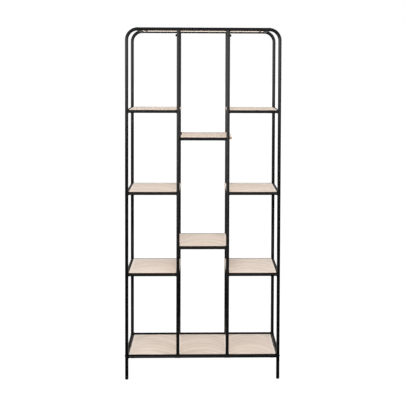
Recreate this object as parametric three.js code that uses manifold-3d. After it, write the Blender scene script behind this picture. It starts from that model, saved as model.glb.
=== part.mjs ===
// Tall open bookcase: a black steel tube frame with fourteen loose wooden boards.
//
// Two tube legs on each side bend over at the top and meet a welded top frame.  Four centre
// posts stand on a welded bottom frame and divide the width into three columns.  The side
// columns hold three shelves each and the centre column holds two, at heights in between.
// Every board lies loose on two flat straps and lifts out upwards.
//
// Millimetres, +Z up, origin on the floor below the middle, front towards -Y, +X to the right.

import * as THREE from "three";
import { mergeVertices } from "three/addons/utils/BufferGeometryUtils.js";
import Module from "manifold-3d";

const wasm = await Module();
wasm.setup();

// ---- Driving dimensions ----
const HEIGHT = 1800;
const LEG_SPAN = 775; // left to right, between leg centre lines
const DEPTH_SPAN = 330; // front to rear, between leg centre lines
const POST_SPAN_FRONT = 253; // between the front centre posts
const POST_SPAN_REAR = 259; // the rear pair stands a little wider
const BEND_RADIUS = 55; // of the tube's centre line at the top corners
const BEND_TAIL = 28; // straight length of a leg tube after its bend
const CROSS_INSET = 54; // from a leg's centre line in to the top cross rail's
const TUBE = 17; // outer diameter of legs, posts and top rails
const WALL = 1.2;
const BOTTOM_RAIL = 18; // outer diameter
const SHELF_BAR = 15; // diameter of the solid bars round each shelf
const BOTTOM_RAIL_TOP = 127.5; // height above the floor
const SIDE_SHELF_TOPS = [1382, 964, 547]; // heights of the side columns' shelf bars
const CENTRE_SHELF_TOPS = [1242.5, 685.5];
const BOARD = 9; // thickness
const BOARD_LENGTH = 260; // of the eight boards between top and bottom
const STRAP = 3; // thickness of the flat bars under the boards
const STRAP_WIDTH = 20;
const REST_WIDTH = 12; // of the flat bars under the top boards' joints
const OUTER_REST_WIDTH = 4; // of those under the top boards' outer ends
const GAP = 0.3; // between pieces that touch
const PLAY = 0.7; // between a board's edge and the tube beside it
const LAP = 0.9; // how far a flat bar runs into the rail it is welded to
const STRAP_INSET = 30; // from a leg's centre line to the strap nearest it
const STRAP_SETBACK = 2; // from a bottom rail's centre line to the ends of its straps
const BOLT_DROP = 31; // from a top rail's centre line down to the post bolt
const CENTRE_BOARD_SHIFT = [16, -4.5]; // how far each centre board has slid to the right
const SIDES = 16; // flats round a tube

// ---- Worked out from the above ----
const legX = LEG_SPAN / 2;
const legY = DEPTH_SPAN / 2;
const topZ = HEIGHT - TUBE / 2;
const bottomZ = BOTTOM_RAIL_TOP - BOTTOM_RAIL / 2;
const bore = TUBE - 2 * WALL; // inside diameter of the frame tube
const plug = bore - 2 * GAP; // diameter of what fits inside it
const jointX = legX - BEND_RADIUS - BEND_TAIL; // where a leg tube meets the top frame
const crossX = legX - CROSS_INSET; // the side frames' top cross rails
const footHeight = 5;
const cut = 30; // how far a cutting bar reaches each way
const sides = [
  ["left", -1],
  ["right", 1],
];
const rows = [
  ["front", -1],
  ["rear", 1],
];

const steel = { color: 0x1c1b1c, roughness: 0.42, metalness: 0.6 };
const zinc = { color: 0x3a3a3c, roughness: 0.35, metalness: 0.9 };
const plastic = { color: 0x0c0c0c, roughness: 0.6, metalness: 0 };
const wood = { color: 0xdecdbf, roughness: 0.6, metalness: 0 };

const bookcase = new THREE.Group();
const up = new THREE.Vector3(0, 0, 1);

// Adds one named piece.
function add(name, geometry, finish) {
  const mesh = new THREE.Mesh(geometry, new THREE.MeshStandardMaterial(finish));
  mesh.name = name;
  bookcase.add(mesh);
}

// ---- Solids ----
// A three.js geometry as a manifold-3d solid.
function solid(geometry) {
  const open = geometry.index ? geometry.toNonIndexed() : geometry.clone();
  open.deleteAttribute("normal");
  open.deleteAttribute("uv");
  const merged = mergeVertices(open, 1e-3);
  return new wasm.Manifold(
    new wasm.Mesh({
      numProp: 3,
      vertProperties: merged.attributes.position.array,
      triVerts: new Uint32Array(merged.index.array),
    }),
  );
}

// A manifold-3d solid as a three.js geometry.
function geometryOf(made) {
  const mesh = made.getMesh();
  const geometry = new THREE.BufferGeometry();
  geometry.setAttribute("position", new THREE.BufferAttribute(mesh.vertProperties, 3));
  geometry.setIndex(new THREE.BufferAttribute(mesh.triVerts, 1));
  return geometry;
}

// The points of a circle, one at each corner between the flats.
function circle(radius) {
  const points = [];
  for (let i = 0; i < SIDES; i++) {
    const angle = (2 * Math.PI * i) / SIDES;
    points.push(new THREE.Vector2(radius * Math.cos(angle), radius * Math.sin(angle)));
  }
  return points;
}

// The cross-section of a tube.
function ring(outer, inner) {
  const shape = new THREE.Shape(circle(outer / 2));
  shape.holes.push(new THREE.Path(circle(inner / 2)));
  return shape;
}

// Turns a geometry that stands on z = 0 so that it runs from one point towards another.
function aim(geometry, from, to) {
  const turn = new THREE.Quaternion().setFromUnitVectors(up, to.clone().sub(from).normalize());
  geometry.applyQuaternion(turn);
  geometry.translate(from.x, from.y, from.z);
  return geometry;
}

// A straight tube between two points.
function tube(from, to, outer) {
  const settings = { depth: from.distanceTo(to), bevelEnabled: false };
  const section = ring(outer, outer - 2 * WALL);
  return solid(aim(new THREE.ExtrudeGeometry(section, settings), from, to));
}

// A straight solid bar between two points.
function bar(from, to, diameter) {
  const length = from.distanceTo(to);
  const cylinder = new THREE.CylinderGeometry(diameter / 2, diameter / 2, length, SIDES);
  cylinder.rotateX(Math.PI / 2);
  cylinder.translate(0, 0, length / 2);
  return solid(aim(cylinder, from, to));
}

// A block given by its size and its middle.
function block(width, depth, height, x, y, z) {
  return solid(new THREE.BoxGeometry(width, depth, height).translate(x, y, z));
}

// A turned piece from its half profile, standing on z = 0.
function turned(profile) {
  const points = profile.map(([r, z]) => new THREE.Vector2(r, z));
  const geometry = new THREE.LatheGeometry(points, SIDES);
  geometry.rotateX(Math.PI / 2);
  return geometry;
}

const at = (x, y, z) => new THREE.Vector3(x, y, z);

// What is cut away round an upright tube, so that a rail's end hugs it.
function clearUpright(x, y) {
  return bar(at(x, y, -10), at(x, y, HEIGHT + 10), TUBE + 2 * GAP);
}

// ---- Legs ----
// The centre line of a leg: up from the foot, round the top corner and in to the joint.
class LegLine extends THREE.Curve {
  constructor(side, y, bendSteps) {
    super();
    this.side = side;
    this.y = y;
    this.bendSteps = bendSteps;
    this.steps = bendSteps + 2;
  }
  // Each step is one stretch of tube, however long it is.
  getUtoTmapping(u) {
    return u;
  }
  getPoint(t) {
    const step = t * this.steps;
    const bendZ = topZ - BEND_RADIUS;
    if (step <= 1) {
      const z = footHeight + GAP + step * (bendZ - footHeight - GAP);
      return at(this.side * legX, this.y, z);
    }
    const angle = (Math.PI / 2) * Math.min(1, (step - 1) / this.bendSteps);
    const beyond = Math.max(0, step - 1 - this.bendSteps) * (BEND_TAIL - GAP / 2);
    const x = legX - BEND_RADIUS * (1 - Math.cos(angle)) - beyond;
    return at(this.side * x, this.y, bendZ + BEND_RADIUS * Math.sin(angle));
  }
}

function alongLeg(side, y, section) {
  const line = new LegLine(side, y, 8);
  const settings = { steps: line.steps, extrudePath: line, bevelEnabled: false };
  return solid(new THREE.ExtrudeGeometry(section, settings));
}

function leg(side, y) {
  return alongLeg(side, y, ring(TUBE, bore));
}

// What is cut away round a leg, bend and all, so that a rail's end hugs it.
function clearLeg(side, y) {
  return alongLeg(side, y, new THREE.Shape(circle(TUBE / 2 + GAP)));
}

// A plastic end plug: a low rounded foot below the tube and a stem inside it.
function footCap(x, y) {
  const profile = [
    [0, 0],
    [TUBE / 2 - 1.5, 0],
    [TUBE / 2 - 0.4, 0.6],
    [TUBE / 2, 2],
    [TUBE / 2, footHeight],
    [plug / 2, footHeight],
    [plug / 2, footHeight + 17],
    [0, footHeight + 17],
  ];
  return turned(profile).translate(x, y, 0);
}

// The short bar inside the tubes that lines a leg's end up with the top frame.
function cornerSleeve(side, y) {
  const outer = jointX + BEND_TAIL - 2;
  const inner = jointX - BEND_TAIL;
  return bar(at(side * outer, y, topZ), at(side * inner, y, topZ), plug);
}

// ---- Side frames ----
// A shelf's side rail, from the front leg to the rear leg, its ends cut to hug both.
function shelfSideRail(side, z) {
  const x = side * legX;
  const rail = bar(at(x, -legY, z), at(x, legY, z), SHELF_BAR);
  return rail.subtract(clearUpright(x, -legY)).subtract(clearUpright(x, legY));
}

// What is cut away round that rail, so that the shelf frame's corners clear it.
function clearSideRail(side, z) {
  return bar(at(side * legX, -legY, z), at(side * legX, legY, z), SHELF_BAR + 2 * GAP);
}

// The bottom side rail is a tube, square cut just short of both legs.
function bottomSideRail(side) {
  const reach = legY - TUBE / 2 - PLAY;
  return tube(at(side * legX, -reach, bottomZ), at(side * legX, reach, bottomZ), BOTTOM_RAIL);
}

// The top cross rail joins the front and rear leg tubes where their bends begin.
function topCrossRail(side) {
  const rail = tube(at(side * crossX, -legY, topZ), at(side * crossX, legY, topZ), TUBE);
  return rail.subtract(clearLeg(side, -legY)).subtract(clearLeg(side, legY));
}

// ---- Top and bottom frames ----
const boardJointX = (POST_SPAN_FRONT + POST_SPAN_REAR) / 4; // where top and bottom boards meet
const topRestZ = HEIGHT - BOARD - GAP - STRAP / 2;
const bottomStrapZ = BOTTOM_RAIL_TOP - BOTTOM_RAIL + LAP - STRAP / 2;

// Front and rear top rails, with four flat bars welded between them under the boards.
function topFrame() {
  const end = jointX - GAP / 2;
  const reach = DEPTH_SPAN - TUBE + 2 * LAP;
  const restX = jointX - GAP - OUTER_REST_WIDTH / 2;
  let frame = tube(at(-end, -legY, topZ), at(end, -legY, topZ), TUBE);
  frame = frame.add(tube(at(-end, legY, topZ), at(end, legY, topZ), TUBE));
  for (const [, side] of sides) {
    frame = frame.add(block(REST_WIDTH, reach, STRAP, side * boardJointX, 0, topRestZ));
    frame = frame.add(block(OUTER_REST_WIDTH, reach, STRAP, side * restX, 0, topRestZ));
  }
  return frame;
}

// Front and rear bottom rails, with four flat straps welded below them under the boards.
function bottomFrame() {
  const end = legX - TUBE / 2 - PLAY;
  const outerX = legX - STRAP_INSET;
  const reach = DEPTH_SPAN - 2 * STRAP_SETBACK;
  let frame = tube(at(-end, -legY, bottomZ), at(end, -legY, bottomZ), BOTTOM_RAIL);
  frame = frame.add(tube(at(-end, legY, bottomZ), at(end, legY, bottomZ), BOTTOM_RAIL));
  for (const x of [-outerX, -boardJointX, boardJointX, outerX]) {
    const width = Math.abs(x) === boardJointX ? 1.5 * STRAP_WIDTH : STRAP_WIDTH;
    frame = frame.add(block(width, reach, STRAP, x, 0, bottomStrapZ));
  }
  return frame;
}

// ---- Centre posts ----
const postX = (row) => (row < 0 ? POST_SPAN_FRONT : POST_SPAN_REAR) / 2;
const boltZ = topZ - BOLT_DROP;
const boltShank = 5; // diameters
const boltHead = 13;
const boltHeadHeight = 6;
const boltBevel = 1.6; // round the head's outer edge
const boltTail = 4; // how far the shank runs past the post's middle

// A bolt lying along X, its head on the post's outer side.
function postBolt(side, row, clearance) {
  const shank = boltShank / 2 + clearance;
  const head = boltHead / 2;
  const underHead = boltTail + TUBE / 2 + GAP;
  const end = underHead + boltHeadHeight;
  const profile = [
    [0, 0],
    [shank, 0],
    [shank, underHead],
    [head, underHead],
    [head, end - boltBevel],
    [head - boltBevel, end],
    [0, end],
  ];
  const geometry = turned(profile).rotateY((side * Math.PI) / 2);
  return solid(geometry.translate(side * (postX(row) - boltTail), row * legY, boltZ));
}

// Between the top and bottom rails, cut to hug both.
function centrePost(side, row) {
  const x = side * postX(row);
  const y = row * legY;
  const clear = 2 * GAP;
  const topRail = bar(at(x - cut, y, topZ), at(x + cut, y, topZ), TUBE + clear);
  const bottomRail = bar(at(x - cut, y, bottomZ), at(x + cut, y, bottomZ), BOTTOM_RAIL + clear);
  const restX = side * boardJointX;
  const rest = block(REST_WIDTH + clear, DEPTH_SPAN, STRAP + clear, restX, 0, topRestZ);
  const around = [topRail, bottomRail, rest, postBolt(side, row, GAP)];
  const post = tube(at(x, y, bottomZ), at(x, y, topZ), TUBE);
  return around.reduce((left, piece) => left.subtract(piece), post);
}

// The short bar welded below the top rail, which the post slides over and is bolted to.
function postSpigot(side, row) {
  const x = side * postX(row);
  const y = row * legY;
  const spigot = bar(at(x, y, boltZ - plug), at(x, y, topZ - TUBE / 2 - GAP), plug);
  return spigot.subtract(postBolt(side, row, GAP));
}

// ---- Shelves ----
// The front bars run between the front uprights, and the rear bars along the front faces of
// the rear ones.
const barY = (row) => (row < 0 ? -legY : legY - TUBE / 2 - GAP - SHELF_BAR / 2);
const shelfFront = -legY + TUBE / 2 + PLAY;
const shelfRear = barY(1) - SHELF_BAR / 2 - PLAY;
const strapFromPost = STRAP_INSET - 5;
const boardTopZ = (barZ) => barZ + SHELF_BAR / 2;
const strapZ = (barZ) => boardTopZ(barZ) - BOARD - GAP - STRAP / 2;

// Front and rear bars between two uprights, with two straps welded between them.
function shelfFrame(barZ, ends, strapXs, cuts = []) {
  const [front, rear] = rows.map(([, row]) => {
    const [a, b] = ends(row);
    return bar(at(a, barY(row), barZ), at(b, barY(row), barZ), SHELF_BAR);
  });
  const clear = ends(-1).map((x) => clearUpright(x, -legY));
  const depth = barY(1) - barY(-1);
  const y = (barY(1) + barY(-1)) / 2;
  const straps = strapXs.map((x) => block(STRAP_WIDTH, depth, STRAP, x, y, strapZ(barZ)));
  const frame = [front, rear, ...straps].reduce((joined, piece) => joined.add(piece));
  return [...clear, ...cuts].reduce((left, cut) => left.subtract(cut), frame);
}

// A loose board between two places in depth, its thickness below top.
function board(x, length, top, front, rear) {
  const panel = new THREE.BoxGeometry(length, rear - front, BOARD);
  return panel.translate(x, (front + rear) / 2, top - BOARD / 2);
}

// ---- The bookcase ----
for (const [sideName, side] of sides) {
  for (const [rowName, row] of rows) {
    const place = rowName + "_" + sideName;
    add("leg_" + place, geometryOf(leg(side, row * legY)), steel);
    add("foot_cap_" + place, footCap(side * legX, row * legY), plastic);
    add("corner_sleeve_" + place, geometryOf(cornerSleeve(side, row * legY)), zinc);
    add("centre_post_" + place, geometryOf(centrePost(side, row)), steel);
    add("post_spigot_" + place, geometryOf(postSpigot(side, row)), zinc);
    add("post_bolt_" + place, geometryOf(postBolt(side, row, 0)), steel);
  }
  add("top_cross_rail_" + sideName, geometryOf(topCrossRail(side)), steel);
  add("bottom_side_rail_" + sideName, geometryOf(bottomSideRail(side)), steel);
}
add("top_frame", geometryOf(topFrame()), steel);
add("bottom_frame", geometryOf(bottomFrame()), steel);

// Side columns: a side rail at the legs, a shelf frame from leg to post, and a board that
// stops just inside the side rail and runs on past the posts.
const outerBoardEnd = legX - SHELF_BAR / 2 - 2 * PLAY;
for (const [sideName, side] of sides) {
  for (const number of [1, 2, 3]) {
    const barZ = SIDE_SHELF_TOPS[number - 1] - SHELF_BAR / 2;
    const ends = (row) => [side * legX, side * postX(row)];
    const straps = [side * (legX - STRAP_INSET), side * (postX(-1) + strapFromPost)];
    const boardX = side * (outerBoardEnd - BOARD_LENGTH / 2);
    const label = sideName + "_" + number;
    const frame = shelfFrame(barZ, ends, straps, [clearSideRail(side, barZ)]);
    add("shelf_side_rail_" + label, geometryOf(shelfSideRail(side, barZ)), steel);
    add("shelf_frame_" + label, geometryOf(frame), steel);
    const panel = board(boardX, BOARD_LENGTH, boardTopZ(barZ), shelfFront, shelfRear);
    add("board_" + label, panel, wood);
  }
}

// Centre column: each board has slid a little way along its straps.
for (const number of [1, 2]) {
  const barZ = CENTRE_SHELF_TOPS[number - 1] - SHELF_BAR / 2;
  const ends = (row) => [-postX(row), postX(row)];
  const straps = [strapFromPost - postX(-1), postX(-1) - strapFromPost];
  const shift = CENTRE_BOARD_SHIFT[number - 1];
  add("shelf_frame_centre_" + number, geometryOf(shelfFrame(barZ, ends, straps)), steel);
  const panel = board(shift, BOARD_LENGTH, boardTopZ(barZ), shelfFront, shelfRear);
  add("board_centre_" + number, panel, wood);
}

// The top and the bottom each have three boards in a row, end to end.
const topOuterEnd = crossX - TUBE / 2 - 2 * PLAY;
const bottomOuterEnd = legX - BOTTOM_RAIL / 2 - 2 * PLAY;
const bottomBoardTop = bottomStrapZ + STRAP / 2 + GAP + BOARD;
function boardRow(level, outerEnd, top, rail) {
  const middle = 2 * (boardJointX - PLAY);
  const outer = outerEnd - boardJointX - PLAY;
  const reach = legY - Math.max(rail, TUBE) / 2 - PLAY;
  add("board_" + level + "_centre", board(0, middle, top, -reach, reach), wood);
  for (const [sideName, side] of sides) {
    const x = side * (outerEnd - outer / 2);
    add("board_" + level + "_" + sideName, board(x, outer, top, -reach, reach), wood);
  }
}
boardRow("top", topOuterEnd, HEIGHT, TUBE);
boardRow("bottom", bottomOuterEnd, bottomBoardTop, BOTTOM_RAIL);

export default bookcase;
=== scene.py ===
"""Looks for the tall open bookcase: smooth tubes, welds, screws, feet and grained boards, each
made in the place of its CAD node, with a studio floor, soft light and one camera."""

import math

import bmesh
import bpy
from mathutils import Matrix, Vector


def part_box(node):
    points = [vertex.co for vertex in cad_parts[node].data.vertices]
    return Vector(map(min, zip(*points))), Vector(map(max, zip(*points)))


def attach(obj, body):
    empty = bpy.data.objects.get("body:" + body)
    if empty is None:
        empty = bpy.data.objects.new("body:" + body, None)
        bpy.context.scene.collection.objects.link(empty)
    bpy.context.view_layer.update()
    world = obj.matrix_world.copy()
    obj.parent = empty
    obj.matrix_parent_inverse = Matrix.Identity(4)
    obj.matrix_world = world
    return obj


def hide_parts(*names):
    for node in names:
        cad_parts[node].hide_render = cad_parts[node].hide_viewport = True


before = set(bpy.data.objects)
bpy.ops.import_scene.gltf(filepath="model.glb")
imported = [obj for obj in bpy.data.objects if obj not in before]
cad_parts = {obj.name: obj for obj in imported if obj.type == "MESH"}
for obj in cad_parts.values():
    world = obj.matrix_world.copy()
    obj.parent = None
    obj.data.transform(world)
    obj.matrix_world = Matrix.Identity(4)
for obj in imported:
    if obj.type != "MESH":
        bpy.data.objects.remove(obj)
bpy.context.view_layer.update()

MM = 0.001
X, Y, Z = Vector((1, 0, 0)), Vector((0, 1, 0)), Vector((0, 0, 1))

# ---- Driving dimensions, in metres ----
TUBE = 17 * MM  # outer diameter of legs, posts and top rails
WALL = 1.2 * MM
BOTTOM_RAIL = 18 * MM
SHELF_BAR = 15 * MM
BEND = 55 * MM  # radius of a leg's centre line at its top corner
GAP = 0.3 * MM  # between pieces that touch
REST_WIDTH = 12 * MM  # flat bars under the top boards' joints
OUTER_REST_WIDTH = 4 * MM  # flat bars under the top boards' outer ends
STRAP_WIDTH = 20 * MM  # flat bars under the other boards
STRAP = 3 * MM  # thickness of all of these
STRAP_INSET = 30 * MM  # from a leg's centre line to the strap nearest it
STRAP_SETBACK = 2 * MM  # from a bottom rail's centre line to the ends of its straps
POST_INSET = 25 * MM  # from a front post's centre line to the strap nearest it
LAP = 0.9 * MM  # how far the top's flat bars run into the rails
BEAD = 1.5 * MM  # radius of a weld bead round a bar's end
SMALL_BEAD = 0.9 * MM  # along a strap's end
TACK = 10 * MM  # length of the bead that holds a rear bar to an upright
EDGE = 0.35 * MM  # rounding of a tube's cut end and of a flat bar's edges
ARCH = 85 * MM  # how far the boards' grain bows between an end and the middle
FACE_TONE = -0.17  # how dark the shelf faces are, on top of their grain
# The bottom row's faces are set darker than the rest: painted shade from the shelves above.
BOTTOM_TONE_WITH_PAINTED_SHADE = -0.02  # the same for the bottom row
SIDES = 48  # points round a tube
BEND_STEPS = 24
BEAD_SIDES = 10
BEAD_STEPS = 72

PALE_WOOD = (0.80, 0.697, 0.614, 1)
DARK_WOOD = (0.60, 0.482, 0.390, 1)
PORE = (0.36, 0.25, 0.18, 1)
# Colour of a painted highlight round the edges of each board face.
PAINTED_EDGE_HIGHLIGHT = (0.86, 0.77, 0.69, 1)

sides = [("left", -1), ("right", 1)]
rows = [("front", -1), ("rear", 1)]


# ---- Places, from the frame ----
def middle(node):
    low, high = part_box(node)
    return (low + high) / 2


leg_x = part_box("leg_rear_right")[1].x - TUBE / 2
post_x = {row: middle("centre_post_" + name + "_right").x for name, row in rows}


def radius_at(angle, radius, u, v):
    """The point of a circle at that angle, in the plane of u and v."""
    return (u * math.cos(angle) + v * math.sin(angle)) * radius


# ---- Mesh building ----
class Piece:
    """Vertices and faces gathered for one named piece."""

    def __init__(self):
        self.mesh = bmesh.new()

    def ring(self, points):
        return [self.mesh.verts.new(p) for p in points]

    def face(self, corners, index=0):
        self.mesh.faces.new(corners).material_index = index

    def bridge(self, a, b, index=0):
        count = len(a)
        for i in range(count):
            j = (i + 1) % count
            self.face((a[i], a[j], b[j], b[i]), index)

    def loft(self, outlines, closed=False, index=0):
        """Joins outlines of equal length, and the last to the first where closed."""
        rings = [self.ring(points) for points in outlines]
        for a, b in zip(rings, rings[1:]):
            self.bridge(a, b, index)
        if closed:
            self.bridge(rings[-1], rings[0], index)
        return rings

    def fan(self, ring, centre):
        """Closes a ring with triangles to a centre point."""
        tip = self.mesh.verts.new(centre)
        count = len(ring)
        for i in range(count):
            self.face((ring[i], ring[(i + 1) % count], tip))

    def make(self, name, materials, body, slot, node=None, smooth_below=32):
        """Turns it into an object that rides on a body and, where a node is named, replaces it."""
        bmesh.ops.recalc_face_normals(self.mesh, faces=self.mesh.faces)
        data = bpy.data.meshes.new(name)
        self.mesh.to_mesh(data)
        self.mesh.free()
        data.shade_smooth()
        data.set_sharp_from_angle(angle=math.radians(smooth_below))
        for material in materials:
            data.materials.append(material)
        obj = bpy.data.objects.new(name, data)
        bpy.context.scene.collection.objects.link(obj)
        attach(obj, body)
        if node:
            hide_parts(node)


def directions(u, v, count=SIDES):
    """Unit vectors all the way round, in the plane of u and v."""
    return [radius_at(2 * math.pi * i / count, 1, u, v) for i in range(count)]


def hug(direction, along, mate, radius):
    """How far along a bar its surface starts, where its end hugs a round piece."""
    if mate is None:
        return 0.0
    axis, mate_radius = mate
    sideways = radius * direction.dot(along.cross(axis))
    return math.sqrt(max(0.0, mate_radius**2 - sideways**2))


def end_rings(point, along, u, v, radius, wall, mate):
    """Outlines at a bar's end, from its outer surface to its middle or its bore. along points
    into the bar."""
    around = directions(u, v)
    if mate is None:
        steps = [(radius, EDGE), (radius - 0.3 * EDGE, 0.3 * EDGE), (radius - EDGE, 0.0)]
        if wall:
            bore = radius - wall
            steps += [(bore + EDGE, 0.0), (bore + 0.3 * EDGE, 0.3 * EDGE), (bore, EDGE)]
        else:
            steps += [(0.4 * radius, 0.0)]
    elif wall:
        steps = [(radius, 0.0), (radius - wall, 0.0)]
    else:
        steps = [(radius, 0.0), (0.7 * radius, 0.0), (0.35 * radius, 0.0)]
    return [
        [point + d * r + along * (s + hug(d, along, mate, r)) for d in around] for r, s in steps
    ]


def straight(piece, start, end, diameter, wall=0, mates=(None, None)):
    """A straight bar, or a tube where it has a wall. A mate is (axis, radius) of the round piece
    whose centre line passes through that end, or None for a square cut."""
    along = (end - start).normalized()
    u = Y if abs(along.y) < 0.5 else X
    v = along.cross(u)
    radius = diameter / 2
    first = end_rings(start, along, u, v, radius, wall, mates[0])
    last = end_rings(end, -along, u, v, radius, wall, mates[1])
    if wall:
        piece.loft(first[::-1] + last, closed=True)
        return
    rings = piece.loft(first[::-1] + last)
    middles = [hug(u, along, mate, 0.0) for mate in mates]
    piece.fan(rings[0], start + along * middles[0])
    piece.fan(rings[-1], end - along * middles[1])


def bead(piece, path, sections, size, closed):
    """A weld bead along a path, with the ripples that each dab of weld leaves. sections holds
    the two directions that each slice of the bead lies in."""
    outlines = []
    for i, (point, (u, v)) in enumerate(zip(path, sections)):
        swell = 1 + 0.10 * math.sin(i * 1.9) + 0.05 * math.sin(i * 0.73)
        if not closed and i in (0, len(path) - 1):
            swell *= 0.35
        outlines.append([point + d * size * swell for d in directions(u, v, BEAD_SIDES)])
    rings = piece.loft(outlines, closed=closed)
    if not closed:
        piece.fan(rings[0], path[0])
        piece.fan(rings[-1], path[-1])


def ring_weld(piece, point, along, diameter, mate, size=BEAD):
    """The bead round a bar's end, where it meets the round piece through point."""
    u = Y if abs(along.y) < 0.5 else X
    v = along.cross(u)
    radius = diameter / 2
    axis, mate_radius = mate
    path, sections = [], []
    for d in directions(u, v, BEAD_STEPS):
        reach = hug(d, along, (axis, max(mate_radius, radius + 0.1 * MM)), radius)
        path.append(point + d * (radius + 0.15 * size) + along * (reach + 0.15 * size))
        sections.append((d, along))
    bead(piece, path, sections, size, closed=True)


def line_weld(piece, start, end, size=SMALL_BEAD):
    """A short straight bead."""
    count = max(6, round((end - start).length / (0.8 * size)))
    path = [start.lerp(end, i / count) for i in range(count + 1)]
    along = (end - start).normalized()
    u = Y if abs(along.y) < 0.5 else X
    bead(piece, path, [(u, along.cross(u))] * len(path), size, closed=False)


def rounded_outline(width, depth, corner, centre, steps=5):
    """A rectangle with round corners, in a level plane."""
    points = []
    for quarter, (sx, sy) in enumerate([(1, 1), (-1, 1), (-1, -1), (1, -1)]):
        inner = centre + X * sx * (width / 2 - corner) + Y * sy * (depth / 2 - corner)
        for i in range(steps + 1):
            angle = math.pi / 2 * (quarter + i / steps)
            points.append(inner + radius_at(angle, corner, X, Y))
    return points


def slab(piece, low, high, corner, edge, steps=3, side_index=0):
    """A flat board or bar between two corners, with round corners and softened edges."""
    size = high - low
    centre = (low + high) / 2
    levels = []
    for i in range(steps + 1):
        angle = math.pi / 2 * i / steps
        levels.append((edge * (1 - math.sin(angle)), edge * (1 - math.cos(angle))))
    shape = [(inset, low.z + rise) for inset, rise in levels]
    shape += [(inset, high.z - rise) for inset, rise in reversed(levels)]
    outlines = []
    for inset, z in shape:
        place = Vector((centre.x, centre.y, z))
        width, depth = size.x - 2 * inset, size.y - 2 * inset
        outlines.append(rounded_outline(width, depth, corner, place))
    rings = piece.loft(outlines, index=side_index)
    piece.face(rings[0])
    piece.face(rings[-1])


def turned(piece, start, along, profile):
    """A round piece from (radius, height) pairs, the first and last on its axis."""
    u = Y if abs(along.y) < 0.5 else X
    around = directions(u, along.cross(u))
    outlines = [[start + d * r + along * h for d in around] for r, h in profile[1:-1]]
    rings = piece.loft(outlines)
    piece.fan(rings[0], start + along * profile[0][1])
    piece.fan(rings[-1], start + along * profile[-1][1])


# ---- Materials ----
class Shader:
    """One material's nodes, with short calls to add and join them."""

    def __init__(self, name):
        self.material = bpy.data.materials.new(name)
        self.material.use_nodes = True
        self.tree = self.material.node_tree
        self.bsdf = self.tree.nodes["Principled BSDF"]
        self.place = self.node("TexCoord").outputs["Object"]

    def put(self, socket, value):
        if isinstance(value, bpy.types.NodeSocket):
            self.tree.links.new(value, socket)
        else:
            socket.default_value = value

    def node(self, kind, inputs=None, **settings):
        made = self.tree.nodes.new("ShaderNode" + kind)
        for key, value in settings.items():
            setattr(made, key, value)
        for key, value in (inputs or {}).items():
            self.put(made.inputs[key], value)
        return made

    def surface(self, **inputs):
        for key, value in inputs.items():
            self.put(self.bsdf.inputs[key.replace("_", " ")], value)

    def math(self, operation, a, b=0.0):
        return self.node("Math", {0: a, 1: b}, operation=operation).outputs[0]

    def stretched(self, scale, shift=(0, 0, 0), place=None):
        inputs = {"Vector": place or self.place, "Scale": scale, "Location": shift}
        return self.node("Mapping", inputs).outputs[0]

    def noise(self, place, scale, detail=2.0, roughness=0.5):
        inputs = {"Vector": place, "Scale": scale, "Detail": detail, "Roughness": roughness}
        return self.node("TexNoise", inputs).outputs["Fac"]

    def between(self, value, low, high, to_low=0.0, to_high=1.0):
        inputs = {0: value, 1: low, 2: high, 3: to_low, 4: to_high}
        return self.node("MapRange", inputs, interpolation_type="SMOOTHSTEP").outputs[0]

    def mix(self, share, a, b):
        made = self.node("Mix", data_type="RGBA")
        self.put(made.inputs[0], share)
        self.put(made.inputs[6], a)
        self.put(made.inputs[7], b)
        return made.outputs[2]

    def bump(self, height, distance, strength=1.0):
        inputs = {"Height": height, "Distance": distance, "Strength": strength}
        self.surface(Normal=self.node("Bump", inputs).outputs[0])


def black_coat():
    """Satin black powder coat: a fine orange peel, and a slightly uneven shine."""
    s = Shader("black_coat")
    broad = s.noise(s.place, 9.0, 3.0)
    peel = s.noise(s.place, 900.0, 2.0)
    grit = s.noise(s.place, 2600.0, 1.0)
    dark, pale = (0.0016, 0.0016, 0.0018, 1), (0.0034, 0.0033, 0.0036, 1)
    s.surface(Base_Color=s.mix(broad, dark, pale))
    uneven = s.math("ADD", broad, s.math("MULTIPLY", grit, 0.3))
    s.surface(Roughness=s.between(uneven, 0.3, 1.0, 0.20, 0.28))
    s.bsdf.inputs["Specular IOR Level"].default_value = 0.42
    s.bump(s.math("ADD", peel, s.math("MULTIPLY", grit, 0.4)), 0.01 * MM, 0.4)
    return s.material


def black_plastic():
    """Moulded black plastic with a fine spark-eroded grain."""
    s = Shader("black_plastic")
    grain = s.noise(s.place, 1800.0, 3.0, 0.6)
    scuff = s.noise(s.place, 60.0, 4.0, 0.7)
    s.surface(Base_Color=s.mix(scuff, (0.008, 0.008, 0.008, 1), (0.018, 0.018, 0.018, 1)))
    s.surface(Roughness=s.between(scuff, 0.3, 0.7, 0.5, 0.68))
    s.bump(grain, 0.05 * MM, 0.6)
    return s.material


def bare_steel():
    """Plain turned steel, with fine marks round it."""
    s = Shader("bare_steel")
    marks = s.noise(s.stretched((3000, 40, 40)), 1.0, 3.0)
    stain = s.noise(s.place, 70.0, 4.0, 0.6)
    s.surface(Base_Color=s.mix(stain, (0.36, 0.36, 0.37, 1), (0.52, 0.52, 0.53, 1)))
    s.surface(Roughness=s.between(marks, 0.2, 0.8, 0.25, 0.42))
    s.bsdf.inputs["Metallic"].default_value = 1.0
    s.bump(marks, 0.01 * MM, 0.5)
    return s.material


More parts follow.
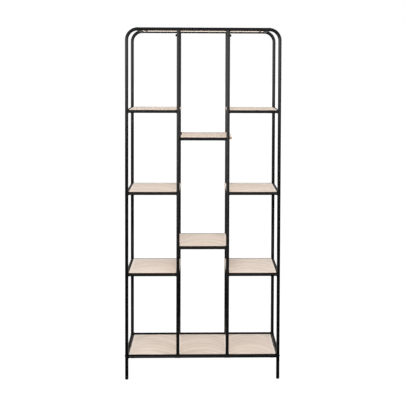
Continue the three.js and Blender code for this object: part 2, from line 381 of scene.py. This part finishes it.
def wood_face(name, low, high, number, tone_with_painted_shade):
    """Pale veneer. Its grain runs from left to right in a wide arch, with soft streaks, fine
    fibres and pores, and a painted highlight makes the face paler round its edges. The last
    argument darkens the face as it grows; for the bottom row it is higher, as painted shade."""
    s = Shader(name)
    shift = (0.37 * number, 0.213 * number, 0.0)
    centre, half = (low + high) / 2, (high - low) / 2
    split = s.node("SeparateXYZ", {0: s.place})
    x = s.math("SUBTRACT", split.outputs[0], centre.x)
    y = s.math("SUBTRACT", split.outputs[1], centre.y)
    # The arch's top is up to 20 mm off the middle, and its height differs from board to board.
    off = s.math("DIVIDE", s.math("SUBTRACT", x, 20 * MM * math.sin(5.0 * number)), half.x)
    rise = ARCH * (1 + 0.25 * math.sin(3.7 * number))
    bowed = s.math("ADD", y, s.math("MULTIPLY", s.math("MULTIPLY", off, off), rise))
    along = s.node("CombineXYZ", {0: x, 1: bowed, 2: split.outputs[2]}).outputs[0]
    # Every stretch is in waves per metre: few along the grain, many across it.
    streaks = s.noise(s.stretched((3.2, 32, 32), shift, along), 1.0, 3.0, 0.55)
    wander = s.math("MULTIPLY", s.noise(s.stretched((3, 12, 12), shift, along), 1.0, 2.0), 3.6)
    rings = s.math("ADD", s.math("MULTIPLY", bowed, 21.0), wander)
    late = s.math("POWER", s.math("FRACT", rings), 1.7)
    fibre = s.noise(s.stretched((9, 620, 620), shift, along), 1.0, 3.0, 0.6)
    pores = s.between(s.noise(s.stretched((42, 1500, 1500), shift, along), 1.0, 1.0), 0.6, 0.72)
    share = s.math("MULTIPLY", s.between(streaks, 0.34, 0.64), 0.46)
    share = s.math("ADD", share, s.math("MULTIPLY", late, 0.36))
    share = s.math("ADD", share, s.math("MULTIPLY", s.math("SUBTRACT", fibre, 0.5), 0.12))
    # Darken the whole face; for the bottom row this includes painted shade.
    share = s.math("ADD", share, tone_with_painted_shade)
    colour = s.mix(share, PALE_WOOD, DARK_WOOD)
    colour = s.mix(s.math("MULTIPLY", pores, 0.10), colour, PORE)
    inside_x = s.math("SUBTRACT", half.x, s.math("ABSOLUTE", x))
    inside_y = s.math("SUBTRACT", half.y, s.math("ABSOLUTE", y))
    # Painted highlight: the face is paler near its edges, fading out 15 mm in.
    painted_edge_highlight = s.between(s.math("MINIMUM", inside_x, inside_y), 5 * MM, 15 * MM, 0.75, 0.0)
    s.surface(Base_Color=s.mix(painted_edge_highlight, colour, PAINTED_EDGE_HIGHLIGHT))
    s.surface(Roughness=s.between(fibre, 0.25, 0.75, 0.5, 0.64))
    height = s.math("SUBTRACT", fibre, s.math("MULTIPLY", pores, 0.8))
    s.bump(height, 0.01 * MM, 0.2)
    return s.material


def wood_edge():
    """The board's cut edges: brown pressed fibre with fine layers."""
    s = Shader("wood_edge")
    layers = s.noise(s.stretched((30, 30, 1400)), 1.0, 2.0)
    specks = s.noise(s.place, 1500.0, 3.0, 0.7)
    colour = s.mix(layers, (0.115, 0.058, 0.027, 1), (0.20, 0.112, 0.056, 1))
    colour = s.mix(s.between(specks, 0.55, 0.75, 0.0, 0.4), colour, (0.27, 0.175, 0.10, 1))
    s.surface(Base_Color=colour)
    s.surface(Roughness=s.between(specks, 0.2, 0.8, 0.72, 0.9))
    s.bump(specks, 0.08 * MM, 0.6)
    return s.material


# ---- Legs, feet and sleeves ----
def leg(node, side, steel):
    """Up from the foot, round the top corner and in to the joint with the top frame."""
    low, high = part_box(node)
    radius = TUBE / 2
    y = (low.y + high.y) / 2
    outer = (high.x if side > 0 else -low.x) - radius
    inner = -high.x if side < 0 else low.x
    top = high.z - radius
    stations = [(outer, low.z, 0.0)]
    for i in range(BEND_STEPS + 1):
        angle = math.pi / 2 * i / BEND_STEPS
        x = outer - BEND * (1 - math.cos(angle))
        stations.append((x, top - BEND + BEND * math.sin(angle), angle))
    stations.append((inner, top, math.pi / 2))

    def outline(station, size, slide=0.0):
        x, z, angle = station
        along = X * -side * math.sin(angle) + Z * math.cos(angle)
        centre = Vector((side * x, y, z)) + along * slide
        return [centre + d * size for d in directions(Y, along.cross(Y))]

    bore = radius - WALL
    rim = [(radius - 0.3 * EDGE, 0.3 * EDGE), (radius - EDGE, 0.0)]
    rim += [(bore + EDGE, 0.0), (bore + 0.3 * EDGE, 0.3 * EDGE)]
    first, last = stations[0], stations[-1]
    outlines = [outline(first, radius, EDGE)]
    outlines += [outline(station, radius) for station in stations[1:-1]]
    outlines += [outline(last, radius, -EDGE)]
    outlines += [outline(last, size, -slide) for size, slide in rim]
    outlines += [outline(last, bore, -EDGE)]
    outlines += [outline(station, bore) for station in reversed(stations[1:-1])]
    outlines += [outline(first, bore, EDGE)]
    outlines += [outline(first, size, slide) for size, slide in reversed(rim)]
    piece = Piece()
    piece.loft(outlines, closed=True)
    piece.make(node + "_tube", [steel], "frame", "black_steel", node)


def foot_cap(node, plastic):
    """A flat-bottomed plug with a rounded rim, a shallow groove and a ribbed stem in the tube."""
    low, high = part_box(node)
    centre = middle(node)
    radius = TUBE / 2
    stem = radius - WALL - GAP
    collar, rim = 5 * MM, 1.5 * MM
    profile = [(0, 0), (radius - rim, 0)]
    for i in range(1, 7):
        angle = math.pi / 2 * i / 6
        profile.append((radius - rim * (1 - math.sin(angle)), rim * (1 - math.cos(angle))))
    profile += [(radius, 3.4 * MM), (radius - 0.3 * MM, 3.6 * MM), (radius - 0.3 * MM, 3.9 * MM)]
    profile += [(radius, 4.1 * MM), (radius, collar - 0.2 * MM), (radius - 0.2 * MM, collar)]
    profile += [(stem - 0.4 * MM, collar)]
    ribs = 4
    pitch = (high.z - collar - 2 * MM) / ribs
    for i in range(ribs):
        base = collar + i * pitch
        profile += [(stem - 0.4 * MM, base + 0.3 * pitch), (stem, base + 0.5 * pitch)]
        profile += [(stem, base + 0.8 * pitch), (stem - 0.4 * MM, base + pitch)]
    profile += [(stem - 1 * MM, high.z), (0, high.z)]
    piece = Piece()
    turned(piece, Vector((centre.x, centre.y, low.z)), Z, profile)
    piece.make(node + "_moulding", [plastic], "frame", "black_plastic", node)


def hidden_bar(node, along, metal):
    """A short bar inside a tube, with chamfered ends."""
    low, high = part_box(node)
    centre = middle(node)
    reach = abs((high - low).dot(along)) / 2
    radius = min((high - low).y, TUBE) / 2
    chamfer = 0.8 * MM
    profile = [(0, 0), (radius - chamfer, 0), (radius, chamfer)]
    profile += [(radius, 2 * reach - chamfer), (radius - chamfer, 2 * reach), (0, 2 * reach)]
    piece = Piece()
    turned(piece, centre - along * reach, along, profile)
    piece.make(node + "_bar", [metal], "frame", "bare_steel", node)


# ---- Posts and their screws ----
def centre_post(node, steel):
    """From the bottom rail to the top rail, its ends cut to hug both, with a weld below."""
    centre = middle(node)
    top = Vector((centre.x, centre.y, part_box("top_frame")[1].z - TUBE / 2))
    bottom = Vector((centre.x, centre.y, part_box("bottom_frame")[1].z - BOTTOM_RAIL / 2))
    above, below = (X, TUBE / 2 + GAP), (X, BOTTOM_RAIL / 2 + GAP)
    piece = Piece()
    straight(piece, bottom, top, TUBE, WALL, (below, above))
    piece.make(node + "_tube", [steel], "frame", "black_steel", node)
    welds = Piece()
    ring_weld(welds, bottom, Z, TUBE, (X, BOTTOM_RAIL / 2))
    welds.make(node + "_weld", [steel], "frame", "black_steel")


def post_screw(node, side, steel):
    """A button-head screw with a hexagon socket, on the post's outer side."""
    low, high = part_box(node)
    centre = middle(node)
    outward = X * side
    tail = low.x if side > 0 else high.x
    end = high.x if side > 0 else low.x
    length = abs(end - tail)
    head, shank = (high.z - low.z) / 2, 2.5 * MM
    rise = 6 * MM  # of the head
    socket, depth = 2.2 * MM, 2.6 * MM
    around = directions(Y, outward.cross(Y))
    start = Vector((tail, centre.y, centre.z))
    base = length - rise
    profile = [(shank - 0.5 * MM, 0), (shank, 0.5 * MM), (shank, base), (head - 0.3 * MM, base)]
    profile += [(head, base + 0.3 * MM), (head, base + 1.2 * MM)]
    for i in range(1, 8):
        angle = math.pi / 2 * i / 8
        size = socket + 0.9 * MM + (head - socket - 0.9 * MM) * math.cos(angle)
        profile.append((size, base + 1.2 * MM + (rise - 1.2 * MM) * math.sin(angle)))
    profile += [(socket + 0.7 * MM, length)]
    outlines = [[start + d * r + outward * h for d in around] for r, h in profile]
    for height in (length, length - depth):
        ring = []
        for i, d in enumerate(around):
            corner = math.radians(i * 360 / SIDES % 60 - 30)
            ring.append(start + outward * height + d * (socket / math.cos(corner)))
        outlines.append(ring)
    piece = Piece()
    rings = piece.loft(outlines)
    piece.fan(rings[0], start)
    piece.fan(rings[-1], start + outward * (length - depth - 0.6 * MM))
    piece.make(node + "_screw", [steel], "frame", "black_steel", node, 25)


# ---- Welded frames ----
def flat_bar(piece, x, width, front, rear, top):
    """A flat bar from front to rear, its upper face at top."""
    low = Vector((x - width / 2, front, top - STRAP))
    high = Vector((x + width / 2, rear, top))
    slab(piece, low, high, 0.6 * MM, EDGE, 2)


def strap_welds(piece, x, width, top, front, rear, rail_z, rail_radius):
    """Short beads where a flat bar's faces run into the inner sides of the rails, whose centre
    lines are at front and rear."""
    for height in (top, top - STRAP):
        drop = rail_z - height
        if abs(drop) > rail_radius:
            continue
        inset = math.sqrt(rail_radius**2 - drop**2)
        for y in (front + inset, rear - inset):
            start = Vector((x - 0.42 * width, y, height))
            line_weld(piece, start, start + X * 0.84 * width)


def top_frame(steel):
    """Front and rear top rails, with four flat bars between them under the boards."""
    node = "top_frame"
    low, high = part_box(node)
    rail_z, rail_y = high.z - TUBE / 2, high.y - TUBE / 2
    joint = (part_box("board_top_centre")[1].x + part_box("board_top_right")[0].x) / 2
    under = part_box("board_top_centre")[0].z - GAP
    outer = high.x - OUTER_REST_WIDTH / 2 - GAP / 2
    piece, welds = Piece(), Piece()
    for _, row in rows:
        y = row * rail_y
        straight(piece, Vector((low.x, y, rail_z)), Vector((high.x, y, rail_z)), TUBE, WALL)
    for x in (-outer, -joint, joint, outer):
        width = REST_WIDTH if abs(x) == joint else OUTER_REST_WIDTH
        reach = rail_y - TUBE / 2 + LAP
        flat_bar(piece, x, width, -reach, reach, under)
        strap_welds(welds, x, width, under, -rail_y, rail_y, rail_z, TUBE / 2)
    piece.make(node + "_rails", [steel], "frame", "black_steel", node)
    welds.make(node + "_welds", [steel], "frame", "black_steel")


def bottom_frame(steel):
    """Front and rear bottom rails, with four flat straps below the boards."""
    node = "bottom_frame"
    low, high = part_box(node)
    rail_z, rail_y = high.z - BOTTOM_RAIL / 2, high.y - BOTTOM_RAIL / 2
    joint = (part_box("board_bottom_centre")[1].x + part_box("board_bottom_right")[0].x) / 2
    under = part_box("board_bottom_centre")[0].z - GAP
    piece, welds = Piece(), Piece()
    for _, row in rows:
        y = row * rail_y
        straight(piece, Vector((low.x, y, rail_z)), Vector((high.x, y, rail_z)), BOTTOM_RAIL, WALL)
        for _, side in sides:
            corner = Vector((side * leg_x, y, rail_z))
            ring_weld(welds, corner, X * -side, BOTTOM_RAIL, (Z, TUBE / 2))
    for x in (-leg_x + STRAP_INSET, -joint, joint, leg_x - STRAP_INSET):
        width = 1.5 * STRAP_WIDTH if abs(x) == joint else STRAP_WIDTH
        reach = rail_y - STRAP_SETBACK
        flat_bar(piece, x, width, -reach, reach, under)
        strap_welds(welds, x, width, under, -rail_y, rail_y, rail_z, BOTTOM_RAIL / 2)
    piece.make(node + "_rails", [steel], "frame", "black_steel", node)
    welds.make(node + "_welds", [steel], "frame", "black_steel")


def front_to_rear_rail(node, diameter, wall, mate, steel, size=BEAD):
    """A rail from the front leg to the rear leg, with a weld round each end."""
    centre = middle(node)
    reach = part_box("leg_rear_left")[1].y - TUBE / 2
    start = Vector((centre.x, -reach, centre.z))
    end = Vector((centre.x, reach, centre.z))
    axis, mate_radius = mate
    piece, welds = Piece(), Piece()
    cut = (axis, mate_radius + GAP)
    straight(piece, start, end, diameter, wall, (cut, cut))
    ring_weld(welds, start, Y, diameter, mate, size)
    ring_weld(welds, end, -Y, diameter, mate, size)
    piece.make(node + "_rail", [steel], "frame", "black_steel", node)
    welds.make(node + "_welds", [steel], "frame", "black_steel")


def shelf_frame(node, board, uprights, straps, steel):
    """A front bar between two uprights, a rear bar along the front of two others, and two flat
    straps under the board. uprights holds the two uprights' centre lines in each row, and
    straps the straps' places."""
    low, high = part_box(node)
    bar_z = high.z - SHELF_BAR / 2
    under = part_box(board)[0].z - GAP
    front, rear = low.y + SHELF_BAR / 2, high.y - SHELF_BAR / 2
    piece, welds = Piece(), Piece()
    mate = (Z, TUBE / 2 + GAP)
    a, b = (Vector((x, front, bar_z)) for x in sorted(uprights[-1]))
    straight(piece, a, b, SHELF_BAR, 0, (mate, mate))
    ring_weld(welds, a, X, SHELF_BAR, (Z, TUBE / 2))
    ring_weld(welds, b, -X, SHELF_BAR, (Z, TUBE / 2))
    ends = [Vector((x, rear, bar_z)) for x in sorted(uprights[1])]
    at_leg = [abs(abs(end.x) - leg_x) < MM for end in ends]
    mates = [(Y, SHELF_BAR / 2 + GAP) if on_leg else None for on_leg in at_leg]
    straight(piece, *ends, SHELF_BAR, 0, mates)
    for end, along, on_leg in zip(ends, (X, -X), at_leg):
        if on_leg:
            ring_weld(welds, end, along, SHELF_BAR, (Y, SHELF_BAR / 2))
        touch = end + Y * (SHELF_BAR / 2) + along * BEAD
        line_weld(welds, touch - Z * TACK / 2, touch + Z * TACK / 2, BEAD)
    for x in straps:
        flat_bar(piece, x, STRAP_WIDTH, front, rear, under)
        strap_welds(welds, x, STRAP_WIDTH, under, front, rear, bar_z, SHELF_BAR / 2)
    piece.make(node + "_bars", [steel], "frame", "black_steel", node)
    welds.make(node + "_welds", [steel], "frame", "black_steel")


# ---- Boards ----
def board(node, number, edge):
    """A veneered board with brown edges. The number gives it a grain of its own."""
    low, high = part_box(node)
    # The bottom row's boards get a darker face: painted shade from the shelves above.
    tone_with_painted_shade = BOTTOM_TONE_WITH_PAINTED_SHADE if "bottom" in node else FACE_TONE
    face = wood_face(node + "_grain", low, high, number, tone_with_painted_shade)
    piece = Piece()
    slab(piece, low, high, 1.2 * MM, 0.6 * MM, 3, side_index=1)
    piece.make(node + "_panel", [face, edge], node + "_body", "light_wood", node)


# ---- Studio ----
def camera():
    """Stands in front, a little left of the middle and just below the top."""
    data = bpy.data.cameras.new("camera")
    data.sensor_width = 36
    data.lens = 70.23
    data.shift_x = -0.04295
    data.shift_y = -0.26983
    data.clip_end = 200
    obj = bpy.data.objects.new("camera", data)
    bpy.context.scene.collection.objects.link(obj)
    place = Vector((-0.0083, -4.177, 1.6196))
    yaw, pitch, roll = (math.radians(angle) for angle in (-1.361, 90 - 2.176, 0.223))
    turn = Matrix.Rotation(yaw, 4, "Z") @ Matrix.Rotation(pitch, 4, "X")
    turn = turn @ Matrix.Rotation(roll, 4, "Z")
    obj.matrix_world = Matrix.Translation(place) @ turn
    bpy.context.scene.camera = obj


def floor():
    """A plain white floor, wide enough to reach the horizon, with hardly a shadow."""
    s = Shader("studio_floor")
    s.surface(Base_Color=(0.12, 0.12, 0.12, 1), Roughness=0.9)
    s.surface(Emission_Color=(1, 1, 1, 1), Emission_Strength=0.94)
    s.bsdf.inputs["Specular IOR Level"].default_value = 0.0
    data = bpy.data.meshes.new("studio_floor")
    mesh = bmesh.new()
    bmesh.ops.create_grid(mesh, x_segments=2, y_segments=2, size=60)
    mesh.to_mesh(data)
    mesh.free()
    data.materials.append(s.material)
    obj = bpy.data.objects.new("studio_floor", data)
    obj.visible_glossy = False
    bpy.context.scene.collection.objects.link(obj)


def area_light(name, place, target, width, height, power, spread=180):
    """A soft light that the steel doesn't mirror."""
    data = bpy.data.lights.new(name, "AREA")
    data.shape = "RECTANGLE"
    data.size, data.size_y = width, height
    data.energy = power
    data.spread = math.radians(spread)
    obj = bpy.data.objects.new(name, data)
    bpy.context.scene.collection.objects.link(obj)
    aim = (Vector(target) - Vector(place)).to_track_quat("-Z", "Y")
    obj.matrix_world = Matrix.Translation(place) @ aim.to_matrix().to_4x4()
    obj.visible_glossy = False


def surround():
    """White all round. What the steel mirrors is a bright band at eye level, brighter in front
    and on the left, that fades to black below and overhead, so the tubes grow blacker to their
    feet."""
    world = bpy.data.worlds.new("studio")
    world.use_nodes = True
    tree = world.node_tree
    place = tree.nodes.new("ShaderNodeTexCoord")
    split = tree.nodes.new("ShaderNodeSeparateXYZ")
    path = tree.nodes.new("ShaderNodeLightPath")
    tree.links.new(place.outputs["Generated"], split.inputs[0])

    def fade(axis, low, high, to_low, to_high):
        """Rises or falls between two angles, in degrees, from the plane across that axis."""
        made = tree.nodes.new("ShaderNodeMapRange")
        made.interpolation_type = "SMOOTHSTEP"
        values = (math.sin(math.radians(low)), math.sin(math.radians(high)), to_low, to_high)
        for i, value in enumerate(values):
            made.inputs[i + 1].default_value = value
        tree.links.new(split.outputs[axis], made.inputs[0])
        return made.outputs[0]

    strength = fade(2, -10.5, -3, 0.0, 1.62)
    falls = [(2, 3, 19, 1.0, 0.05), (0, -60, 60, 1.4, 0.55), (1, -30, 30, 1.2, 0.3)]
    for axis, low, high, to_low, to_high in falls:
        both = tree.nodes.new("ShaderNodeMath")
        both.operation = "MULTIPLY"
        tree.links.new(strength, both.inputs[0])
        tree.links.new(fade(axis, low, high, to_low, to_high), both.inputs[1])
        strength = both.outputs[0]
    mix = tree.nodes.new("ShaderNodeMix")
    mix.inputs[2].default_value = 1.0
    tree.links.new(path.outputs["Is Glossy Ray"], mix.inputs[0])
    tree.links.new(strength, mix.inputs[3])
    back = tree.nodes["Background"]
    tree.links.new(mix.outputs[0], back.inputs["Strength"])
    back.inputs["Color"].default_value = (1, 1, 1, 1)
    bpy.context.scene.world = world


def light():
    surround()
    area_light("key", (-0.2, -3.4, 3.5), (0, 0, 0.9), 2.2, 1.4, 92)
    area_light("low", (0, -2.6, 0.5), (0, 0, 1.75), 1.6, 0.6, 17, spread=60)
    bpy.context.scene.view_settings.view_transform = "Standard"


# ---- The bookcase ----
camera()
steel = black_coat()
plastic = black_plastic()
metal = bare_steel()
edge = wood_edge()

for side_name, side in sides:
    for row_name, row in rows:
        place = row_name + "_" + side_name
        leg("leg_" + place, side, steel)
        foot_cap("foot_cap_" + place, plastic)
        hidden_bar("corner_sleeve_" + place, X, metal)
        centre_post("centre_post_" + place, steel)
        hidden_bar("post_spigot_" + place, Z, metal)
        post_screw("post_bolt_" + place, side, steel)
    cross_rail = "top_cross_rail_" + side_name
    front_to_rear_rail(cross_rail, TUBE, WALL, (X, TUBE / 2), steel, SMALL_BEAD)
    front_to_rear_rail("bottom_side_rail_" + side_name, BOTTOM_RAIL, WALL, (Z, TUBE / 2), steel)
top_frame(steel)
bottom_frame(steel)

for side_name, side in sides:
    for number in (1, 2, 3):
        label = side_name + "_" + str(number)
        front_to_rear_rail("shelf_side_rail_" + label, SHELF_BAR, 0, (Z, TUBE / 2), steel)
        shelf_frame(
            "shelf_frame_" + label,
            "board_" + label,
            {row: (side * leg_x, side * post_x[row]) for _, row in rows},
            (side * (leg_x - STRAP_INSET), side * (post_x[-1] + POST_INSET)),
            steel,
        )
centre_strap = post_x[-1] - POST_INSET
for number in (1, 2):
    label = "centre_" + str(number)
    shelf_frame(
        "shelf_frame_" + label,
        "board_" + label,
        {row: (-post_x[row], post_x[row]) for _, row in rows},
        (-centre_strap, centre_strap),
        steel,
    )

boards = sorted(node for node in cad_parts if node.startswith("board_"))
for number, node in enumerate(boards):
    board(node, number, edge)

floor()
light()
